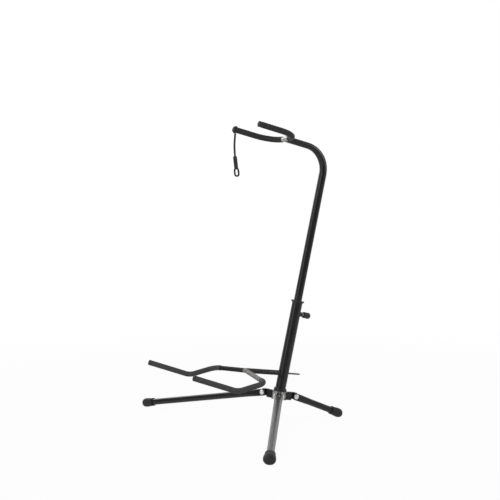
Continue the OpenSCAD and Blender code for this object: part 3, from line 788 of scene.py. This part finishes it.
@dataclass
class RubberFeet(SubAssembly):
    """The moulded feet, each a socket with a lip that swells into a worn ball."""

    leg_w: float = 0.0162
    leg_h: float = 0.0154
    leg_power: float = 3.0
    length: float = 0.032
    ball_w: float = 0.0265
    ball_h: float = 0.0224
    # How far the foot's end stays inside the solid's, how far the socket laps the leg, and its play
    end_in: float = 0.0008
    lap: float = 0.012
    play: float = 0.0001
    sides: int = 48
    # Stations from the mouth outwards: share of the length, of the width and of the height, and squareness
    stations: tuple[tuple[float, float, float, float], ...] = (
        (0.000, 0.790, 0.840, 3.0), (0.015, 0.830, 0.890, 3.0), (0.060, 0.845, 0.905, 3.0),
        (0.105, 0.840, 0.898, 2.9), (0.122, 0.822, 0.878, 2.8), (0.160, 0.828, 0.880, 2.7),
        (0.260, 0.872, 0.905, 2.6), (0.380, 0.930, 0.945, 2.4), (0.500, 0.975, 0.980, 2.25),
        (0.620, 1.000, 1.000, 2.15), (0.740, 0.985, 0.985, 2.1), (0.830, 0.920, 0.925, 2.05),
        (0.900, 0.815, 0.820, 2.0), (0.950, 0.665, 0.670, 2.0), (0.980, 0.470, 0.475, 2.0),
        (0.996, 0.230, 0.235, 2.0))

    def leg_matrix(self, leg: Leg) -> Matrix:
        """The frame of a leg, whose y runs back along it from its rivet.

        Args:
            leg: The leg.

        Returns:
            The frame.
        """
        azimuth = math.radians(leg.value.azimuth)
        return (Matrix.Translation(HUB) @ Matrix.Rotation(-HUB_TILT, 4, "X")
                @ Matrix.Rotation(azimuth, 4, "Z") @ Matrix.Translation((0, -PIVOT_R, 0))
                @ Matrix.Rotation(LEG_DROP, 4, "X"))

    def ring(self, along: float, half_w: float, half_h: float, power: float) -> list[Vector]:
        """A rounded ring across a leg, squarer the higher the power.

        Args:
            along: How far out along the leg it is.
            half_w: Half its width.
            half_h: Half its height.
            power: Its squareness; 2 is an ellipse.

        Returns:
            The ring's points.
        """
        points = []
        for a in angles(0, TAU, self.sides)[:-1]:
            c, s = math.cos(a), math.sin(a)
            points.append(Vector((half_w * math.copysign(abs(c) ** (2 / power), c), -along,
                                  half_h * math.copysign(abs(s) ** (2 / power), s))))
        return points

    def build(self) -> None:
        """Makes the three feet."""
        for leg in Leg:
            mouth = leg.value.reach + self.ball_h / 2 - self.end_in - self.length
            rings = [self.ring(along, self.leg_w / 2 + self.play, self.leg_h / 2 + self.play, self.leg_power)
                     for along in (mouth + self.lap, mouth)]
            rings += [self.ring(mouth + self.length * s, self.ball_w / 2 * w, self.ball_h / 2 * h, p)
                      for s, w, h, p in self.stations]
            bm = loft(rings)
            bmesh.ops.transform(bm, matrix=self.leg_matrix(leg), verts=bm.verts)
            self.flatten(bm)
            finish_piece(leg.value.foot, Kind.RUBBER, bm, self.finishes.foot, leg.value.body, 60.0)

    def flatten(self, bm: Mesh) -> None:
        """Wears the flat that a foot stands on.

        Args:
            bm: A foot, in its place.
        """
        bmesh.ops.bisect_plane(bm, geom=bm.verts[:] + bm.edges[:] + bm.faces[:], dist=1e-6,
                               plane_co=(0, 0, 0), plane_no=(0, 0, 1), clear_inner=True)
        rim = [e for e in bm.edges if e.is_boundary]
        if rim:
            bmesh.ops.edgeloop_fill(bm, edges=rim)


@dataclass
class Hub(SubAssembly):
    """The hub: its strips, core, rivets and washers, and the legs that turn on it."""

    def build(self) -> None:
        """Dresses the hub's nodes and the legs."""
        self.dress(self.finishes.strip, "hub_strip_front", "hub_strip_left", "hub_strip_right", "hub_core")
        self.dress(self.finishes.coat, "leg_front_left")
        self.dress(self.finishes.near_leg, "leg_front_right")
        self.dress(self.finishes.leg, "leg_rear")
        self.dress(self.finishes.plastic, "base_ring", "pivot_washers")
        self.dress(self.finishes.rivet, "leg_rivets")


@dataclass
class Upright(SubAssembly):
    """The lower tube with its bush, and the upper tube."""

    def build(self) -> None:
        """Dresses the tubes."""
        self.dress(self.finishes.coat, "lower_tube")
        self.dress(self.finishes.neck, "upper_tube")
        self.dress(self.finishes.plastic, "tube_bush")
        self.dress(self.finishes.nylon, "guide_plug")


@dataclass
class Clamp(SubAssembly):
    """The clamp behind the lower tube: boss, pad, screw and fluted knob."""

    at_s: float = 0.199
    knob_start: float = 0.0215
    knob_r: float = 0.0075
    flutes: int = 10
    flute_depth: float = 0.0009
    # Points round each flute, how narrow it is in its share of the round, and how square its bottom is
    flute_points: int = 12
    flute_narrow: float = 1.9
    flute_power: float = 0.8
    # Stations along the knob: height, how far it is inside the full radius, and share of the flutes' depth
    stations: tuple[tuple[float, float, float], ...] = (
        (0.0, 0.0012, 0.0), (0.0005, 0.0004, 0.0), (0.0012, 0.0, 0.0), (0.0028, 0.0, 0.0),
        (0.0034, 0.0, 0.55), (0.0042, 0.0, 1.0), (0.0100, 0.0, 1.0), (0.0152, 0.0, 1.0),
        (0.0162, 0.0003, 1.0), (0.0178, 0.0017, 0.6), (0.0192, 0.0031, 0.1), (0.0198, 0.0040, 0.0),
        (0.0200, 0.0052, 0.0))

    def build(self) -> None:
        """Dresses the fixed pieces and makes the knob."""
        self.dress(self.finishes.coat, "clamp_boss")
        self.dress(self.finishes.brass, "clamp_pad")
        self.dress(self.finishes.zinc, "clamp_screw")
        finish_piece("clamp_knob", Kind.GRIP, self.knob(), self.finishes.plastic, "clamp", 35.0)

    def knob(self) -> Mesh:
        """Lofts the fluted knob with its chamfered nose.

        Returns:
            The knob's shape.
        """
        around = self.flutes * self.flute_points
        rings = []
        for height, inside, depth in self.stations:
            ring = []
            for k in range(around):
                phase = (k / around * self.flutes) % 1.0 - 0.5
                hollow = max(0.0, math.cos(phase * math.pi * self.flute_narrow)) ** self.flute_power
                r, a = self.knob_r - inside - hollow * self.flute_depth * depth, TAU * k / around
                ring.append(Vector((r * math.cos(a), r * math.sin(a), self.knob_start + height)))
            rings.append(ring)
        bm = loft(rings)
        place = frame_matrix(upright_point(0, 0, self.at_s), -FORWARD)
        bmesh.ops.transform(bm, matrix=place, verts=bm.verts)
        return bm


@dataclass
class Yoke(SubAssembly):
    """The yoke: its tube, sleeves, caps and the weld to the neck."""

    half_w: float = 0.066
    bend_r: float = 0.050
    axis_s: float = 0.600
    axis_f: float = 0.118
    groove_f: float = 0.220
    groove_w: float = 0.005
    cap_len: float = 0.0035
    cap_end: float = 0.002
    tube_r: float = 0.0055
    sleeve_r: float = 0.007
    # What the sleeve's bend is short of the arm's, so that a straight bit is left between the bends
    bend_play: float = 1e-5
    weld_r: float = 0.0078
    bead_r: float = 0.0009
    bead_points: int = 40
    bead_sides: int = 8
    # The bead's lumps and ripples
    lump_share: float = 0.22
    lump_scale: float = 420.0
    lump_seed: Vector = vector_field(3.0, 0.0, 0.0)
    ripple_share: float = 0.1
    ripple_turn: float = 2.1

    def point(self, x: float, f: float) -> Vector:
        """A point in the yoke's plane."""
        return upright_point(x, f, self.axis_s)

    def build(self) -> None:
        """Makes the sleeves and caps and dresses the tube."""
        self.dress(self.finishes.yoke, "yoke_tube")
        for side, word in ((-1, "left"), (1, "right")):
            finish_piece(f"yoke_sleeve_{word}", Kind.SKIN, self.sleeve(side), self.finishes.sleeve, "neck",
                         50.0)
            finish_piece(f"yoke_cap_{word}", Kind.RUBBER, self.cap(side), self.finishes.rubber, "neck", 40.0)
        finish_piece("yoke_weld", Kind.BEAD, self.weld(), self.finishes.coat, "neck", 80.0, added=True)

    def sleeve(self, side: int) -> Mesh:
        """Sweeps one arm's sleeve round the bend and out to the groove.

        Args:
            side: -1 for the left arm, 1 for the right one.

        Returns:
            The sleeve's shape.
        """
        path = BentPath([self.point(side * (self.half_w - self.bend_r), self.axis_f),
                         self.point(side * self.half_w, self.axis_f),
                         self.point(side * self.half_w, self.groove_f)], [self.bend_r - self.bend_play])
        return swept(path.samples(), self.sleeve_r, self.tube_r)

    def cap(self, side: int) -> Mesh:
        """Turns one arm's cap; the right one has a skirt where the left arm has its groove.

        Args:
            side: -1 for the left arm, 1 for the right one.

        Returns:
            The cap's shape.
        """
        skirt = self.groove_w if side > 0 else 0.0
        place = frame_matrix(self.point(side * self.half_w, self.groove_f + self.groove_w - skirt), FORWARD)
        bore, r, length = self.tube_r, self.sleeve_r, self.cap_len + skirt
        outside = [(bore, 0.0), (r - 0.0007, 0.0), (r - 0.0004, 0.0002), (r - 0.0003, skirt + 0.0004),
                   (r, skirt + 0.0008), (r, length - 0.0022), (r - 0.0002, length - 0.0014),
                   (r - 0.0008, length - 0.0006), (r - 0.0018, length - 0.0001), (r - 0.003, length),
                   (0.0, length - 0.0001)]
        end = length - self.cap_end
        return turned(place, outside, [(bore, 0.0), (bore, end), (0.0, end)])

    def weld(self) -> Mesh:
        """Lays a lumpy bead where the neck's round end meets the yoke's round tube.

        Returns:
            The bead's shape.
        """
        reach = self.tube_r * 0.98
        line = []
        for p in circle(Vector(), ACROSS, Vector((0, 1, 0)), self.weld_r, self.bead_points):
            up = max(-reach, min(reach, p.y))
            back = math.sqrt(max(self.tube_r ** 2 - up ** 2, 0.0))
            line.append(upright_point(p.x, self.axis_f - back, self.axis_s + up))
        middle = sum(line, Vector()) / len(line)
        rings = []
        for i, point in enumerate(line):
            direction = (line[(i + 1) % len(line)] - line[i - 1]).normalized()
            side = point - middle
            side = (side - direction * side.dot(direction)).normalized()
            lumps = noise.noise(point * self.lump_scale + self.lump_seed) * self.lump_share
            r = self.bead_r * (1 + lumps + self.ripple_share * math.sin(i * self.ripple_turn))
            rings.append(circle(point, side, direction.cross(side), r, self.bead_sides))
        return loft(rings, closed=True)


@dataclass
class Cradle(SubAssembly):
    """The cradle: its tube, stem, sleeves and tip plugs."""

    half_w: float = 0.133
    middle: Vector = vector_field(0.0, -0.0363915, 0.132)
    bend: tuple[float, float] = (-0.0538915, 0.123)
    dip: tuple[float, float] = (-0.1215300, 0.109362)
    tip: tuple[float, float] = (-0.2252210, 0.146080)
    bend_radii: tuple[float, float] = (0.022, 0.045)
    # How far a sleeve laps the cross piece
    lap: float = 0.026
    tube_r: float = 0.0055
    sleeve_r: float = 0.0063
    plug_t: float = 0.0015

    def corner(self, side: int, place: tuple[float, float]) -> Vector:
        """A corner of one arm."""
        return Vector((side * self.half_w, *place))

    def build(self) -> None:
        """Makes the sleeves and plugs and dresses the tube and stem."""
        self.dress(self.finishes.cross, "cradle_tube")
        self.dress(self.finishes.coat, "cradle_stem")
        for side, word in ((-1, "left"), (1, "right")):
            bend, dip, tip = (self.corner(side, p) for p in (self.bend, self.dip, self.tip))
            start = bend - (bend - self.middle).normalized() * self.lap
            path = BentPath([start, bend, dip, tip], list(self.bend_radii))
            sleeve = swept(path.samples(), self.sleeve_r, self.tube_r)
            finish_piece(f"cradle_sleeve_{word}", Kind.SKIN, sleeve, self.finishes.cradle_sleeve, "cradle",
                         50.0)
            finish_piece(f"cradle_plug_{word}", Kind.RUBBER, self.plug(tip, tip - dip),
                         self.finishes.rubber, "cradle", 40.0)

    def plug(self, at: Vector, along: Vector) -> Mesh:
        """Turns a tip's plug, with a stub in the tube and a rounded head.

        Args:
            at: The tip.
            along: The arm's direction there.

        Returns:
            The plug's shape.
        """
        r, t = self.sleeve_r, self.plug_t
        return turned(frame_matrix(at, along), [
            (0.0, -0.010), (0.0035, -0.010), (0.0045, -0.009), (0.0045, 0.0), (r - 0.0004, 0.0),
            (r, 0.0003), (r, t - 0.0008), (r - 0.0003, t - 0.0002), (r - 0.001, t), (0.0, t)])


@dataclass
class Strap(SubAssembly):
    """The rubber strap that hangs from the left arm of the yoke."""

    ring_centre: Vector = vector_field(-0.066, -0.0309331, 0.701384)
    top: Vector = vector_field(-0.066, -0.0309331, 0.6923)
    hole_r: float = 0.0058
    ring_r: float = 0.0090
    ring_w: float = 0.0044
    ring_edge: float = 0.0005
    thickness: float = 0.0048
    cord_sides: int = 16
    tab_turn: float = math.radians(62)
    tab_lean: float = math.radians(7)
    tab_w: float = 0.0094
    tab_len: float = 0.030
    tab_t: float = 0.0032
    tab_round: float = 0.0007
    eye_w: float = 0.0134
    eye_h: float = 0.022
    eye_rim: float = 0.0042
    # How far the eye reaches up into the doubled part
    eye_lap: float = 0.002
    # The same route as in the part's source, down from the ring
    route: tuple[tuple[float, float], ...] = (
        (0.0, 0.0), (-0.0006, -0.006), (-0.0012, -0.012), (-0.0016, -0.018), (-0.002, -0.024),
        (-0.0022, -0.030), (-0.002, -0.036), (-0.0016, -0.042), (-0.0012, -0.048), (-0.001, -0.054))

    def path(self) -> list[Vector]:
        """The thin part's points, from the ring down."""
        return [self.top + Vector((0.0, y, z)) for y, z in self.route]

    def build(self) -> None:
        """Makes the ring, the thin part and the doubled part."""
        ring = self.piece("ring", self.ring(), 50.0)
        tab = self.piece("tab", self.tab(), 35.0)
        cord = self.piece("cord", self.cord(), 60.0)

    def piece(self, word: str, bm: Mesh, sharp: float) -> bpy.types.Object:
        """Makes one of the strap's shapes a piece that stands for its node."""
        return finish_piece(f"strap_{word}", Kind.RUBBER, bm, self.finishes.rubber, "strap", sharp)

    def ring(self) -> Mesh:
        """Turns the ring that sits in the arm's groove.

        Returns:
            The ring's shape.
        """
        a, b, h, e = self.hole_r, self.ring_r, self.ring_w / 2, self.ring_edge
        return turned(frame_matrix(self.ring_centre, FORWARD), [
            (a, -h + e), (a + e, -h), (b - e, -h), (b, -h + e), (b, h - e), (b - e, h), (a + e, h),
            (a, h - e)], closed=True)

    def cord(self) -> Mesh:
        """Sweeps the thin part along the route.

        Returns:
            The thin part's shape.
        """
        line = self.path()
        rings = []
        for i, point in enumerate(line):
            direction = (line[min(i + 1, len(line) - 1)] - line[max(i - 1, 0)]).normalized()
            y = direction.cross(ACROSS).normalized()
            rings.append(circle(point, ACROSS, y, self.thickness / 2, self.cord_sides))
        return loft(rings)

    def half_outline(self, eye_z: float) -> list[tuple[float, float]]:
        """The right half of the doubled part's outline, from its top down round the eye.

        Args:
            eye_z: Height of the eye's middle.

        Returns:
            Points as (x, z).
        """
        half, outer = self.tab_w / 2, self.eye_w / 2
        flank = (self.eye_h - self.eye_w) / 2
        join = math.asin(half / outer)
        quarter = math.pi / 2
        points = [(half * math.sin(a), half * 0.5 * (math.cos(a) - 1)) for a in angles(0, quarter, 8)]
        points += [(half, -self.tab_len * 0.5), (half, eye_z + flank + outer * math.cos(join) + 0.0008)]
        points += [(outer * math.sin(a), eye_z + flank + outer * math.cos(a))
                   for a in angles(join, quarter, 6)[1:]]
        points += [(outer * math.cos(a), eye_z - flank - outer * math.sin(a)) for a in angles(0, quarter, 12)]
        return points

    def eye(self, eye_z: float) -> list[tuple[float, float]]:
        """The oval opening of the eye.

        Args:
            eye_z: Height of the eye's middle.

        Returns:
            Points as (x, z).
        """
        r, lift = self.eye_w / 2 - self.eye_rim, (self.eye_h - self.eye_w) / 2
        return [(r * math.cos(a), eye_z + math.copysign(lift, math.sin(a)) + r * math.sin(a))
                for a in angles(0, TAU, 48)[:-1]]

    def tab(self) -> Mesh:
        """Extrudes the doubled part with its oval eye.

        Returns:
            The doubled part's shape.
        """
        eye_z = self.eye_lap - self.tab_len - self.eye_h / 2
        half = self.half_outline(eye_z)
        bm = bmesh.new()
        edges: list[Edge] = []
        for loop in (half + [(-x, z) for x, z in reversed(half) if abs(x) > 1e-9], self.eye(eye_z)):
            edges += first_ring(bm, [Vector((x, 0.0, z)) for x, z in loop])[1]
        bmesh.ops.triangle_fill(bm, use_beauty=True, edges=edges)
        grown = bmesh.ops.extrude_face_region(bm, geom=bm.faces[:])["geom"]
        back = [v for v in grown if isinstance(v, Vert)]
        bmesh.ops.translate(bm, vec=(0, self.tab_t, 0), verts=back)
        bmesh.ops.translate(bm, vec=(0, -self.tab_t / 2, 0), verts=bm.verts)
        bmesh.ops.recalc_face_normals(bm, faces=bm.faces)
        sharp = [e for e in bm.edges if e.is_manifold and e.calc_face_angle(0.0) > math.radians(60)]
        bmesh.ops.bevel(bm, geom=sharp, offset=self.tab_round, affect="EDGES", segments=3, profile=0.5,
                        material=-1, clamp_overlap=True)
        place = (Matrix.Translation(self.path()[-1]) @ Matrix.Rotation(self.tab_lean, 4, "X")
                 @ Matrix.Rotation(self.tab_turn, 4, "Z"))
        bmesh.ops.transform(bm, matrix=place, verts=bm.verts)
        return bm


@dataclass(frozen=True)
class Lamp:
    """A soft box: its name, place, width and height, and power in watts."""

    name: str
    at: tuple[float, float, float]
    size: tuple[float, float]
    power: float


@dataclass
class Studio:
    """The floor, the white surround, the lamps and the camera."""

    camera_at: Vector = vector_field(1.9806, -1.0270, 0.4672)
    target: Vector = vector_field(-0.1571, 0.0547, 0.4103)
    lens: float = 68.22
    camera_side: Vector = vector_field(0.46, 0.89, 0.0)
    clip_start: float = 0.05
    lamps: tuple[Lamp, ...] = (
        Lamp("key", (0.9, -1.4, 1.9), (0.9, 1.3), 15.0), Lamp("side", (1.3, 1.5, 1.2), (0.5, 1.4), 9.0),
        Lamp("fill", (-1.8, -0.4, 1.4), (1.0, 1.0), 8.0), Lamp("strip", (0.35, -2.0, 1.0), (1.0, 1.8), 8.0))
    lamp_aim: Vector = vector_field(0, 0, 0.35)
    # The surround as a light, and how its mirrored white fades in front of the stand and above it
    soft_strength: float = 0.24
    bright_side: tuple[float, float] = (-0.35, 0.6)
    dim_above: float = 0.4
    floor_radius: float = 6.0
    floor_drop: float = 0.0005
    floor_grey: Colour = (0.86, 0.86, 0.86)
    floor_mirrored: float = 0.6
    # The share of the floor's look that takes shadow, and where it fades to plain white
    shadow_share: float = 0.045
    shadow_fades: tuple[float, float] = (0.6, 2.4)

    def camera(self) -> None:
        """Places the camera where the photograph's was."""
        data = bpy.data.cameras.new("camera")
        data.lens = self.lens
        data.clip_start = self.clip_start
        camera = bpy.data.objects.new("camera", data)
        camera.matrix_world = frame_matrix(self.camera_at, self.camera_at - self.target, self.camera_side)
        bpy.context.scene.collection.objects.link(camera)
        bpy.context.scene.camera = camera

    def light(self, lamp: Lamp) -> None:
        """Adds a soft box that faces the stand's middle.

        Args:
            lamp: The soft box.
        """
        data = bpy.data.lights.new(lamp.name, "AREA")
        data.shape = "RECTANGLE"
        data.size, data.size_y = lamp.size
        data.energy = lamp.power
        box = bpy.data.objects.new(lamp.name, data)
        place = Vector(lamp.at)
        box.matrix_world = frame_matrix(place, place - self.lamp_aim, Vector((0.3, 1, 0)))
        bpy.context.scene.collection.objects.link(box)

    @staticmethod
    def background_rays(graph: ShaderGraph, mirrored: object) -> Signal:
        """How far a ray shows the plain background, as the camera's do.

        Args:
            graph: The material's or the world's nodes.
            mirrored: The share that a glossy or a clear ray shows.

        Returns:
            The share.
        """
        camera, glossy, through = (graph.node("ShaderNodeLightPath", output=f"Is {kind} Ray")
                                   for kind in ("Camera", "Glossy", "Transmission"))
        return ((glossy + through) * mirrored + camera).clamped()

    def floor(self) -> None:
        """Lays the pale floor, which is plain white where no shadow falls on it."""
        bm = bmesh.new()
        bmesh.ops.create_circle(bm, cap_ends=True, radius=self.floor_radius, segments=96)
        bmesh.ops.translate(bm, vec=(0, 0, -self.floor_drop), verts=bm.verts)
        mesh = bpy.data.meshes.new("floor")
        bm.to_mesh(mesh)
        bm.free()
        floor = bpy.data.objects.new("floor", mesh)
        bpy.context.scene.collection.objects.link(floor)
        material = bpy.data.materials.new("pale_floor")
        graph = ShaderGraph(material)
        place = graph.node("ShaderNodeTexCoord", output="Object")
        away = graph.node("ShaderNodeVectorMath", {"operation": "LENGTH"}, {0: place}, "Value")
        share = graph.ramp(away, *self.shadow_fades) * self.shadow_share + (1 - self.shadow_share)
        matt = graph.node("ShaderNodeBsdfDiffuse", sockets={"Color": self.floor_grey})
        glow = graph.node("ShaderNodeEmission", sockets={"Color": (1.0, 1.0, 1.0)})
        share = self.background_rays(graph, self.floor_mirrored) * share
        graph.blend_shaders("ShaderNodeOutputMaterial", share, matt, glow)
        mesh.materials.append(material)

    def world(self) -> None:
        """Surrounds the stand with plain white, dimmer as a light than as a background."""
        world = bpy.data.worlds.new("surround")
        graph = ShaderGraph(world)
        soft, white = (
            graph.node("ShaderNodeBackground", sockets={"Color": (1.0, 1.0, 1.0), "Strength": strength})
            for strength in (self.soft_strength, 1.0))
        along = graph.node("ShaderNodeVectorMath", {"operation": "DOT_PRODUCT"}, {
            0: graph.node("ShaderNodeTexCoord", output="Generated"),
            1: (self.target - self.camera_at).normalized() - Vector((0.0, 0.0, self.dim_above))}, "Value")
        share = self.background_rays(graph, graph.ramp(along, *self.bright_side))
        graph.blend_shaders("ShaderNodeOutputWorld", share, soft, white)
        bpy.context.scene.world = world

    def build(self) -> None:
        """Sets the whole studio up."""
        bpy.context.scene.view_settings.view_transform = "Standard"
        self.camera()
        self.floor()
        self.world()
        for lamp in self.lamps:
            self.light(lamp)


def main() -> None:
    """Builds the stand round its frame."""
    logging.basicConfig(level=logging.INFO, format="%(message)s")
    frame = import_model()
    Studio().build()
    finishes = Finishes()
    for part in (Strap, Hub, Upright, RubberFeet, Clamp, Yoke, Cradle):
        part(frame, finishes).build()


if __name__ == "__main__":
    main()
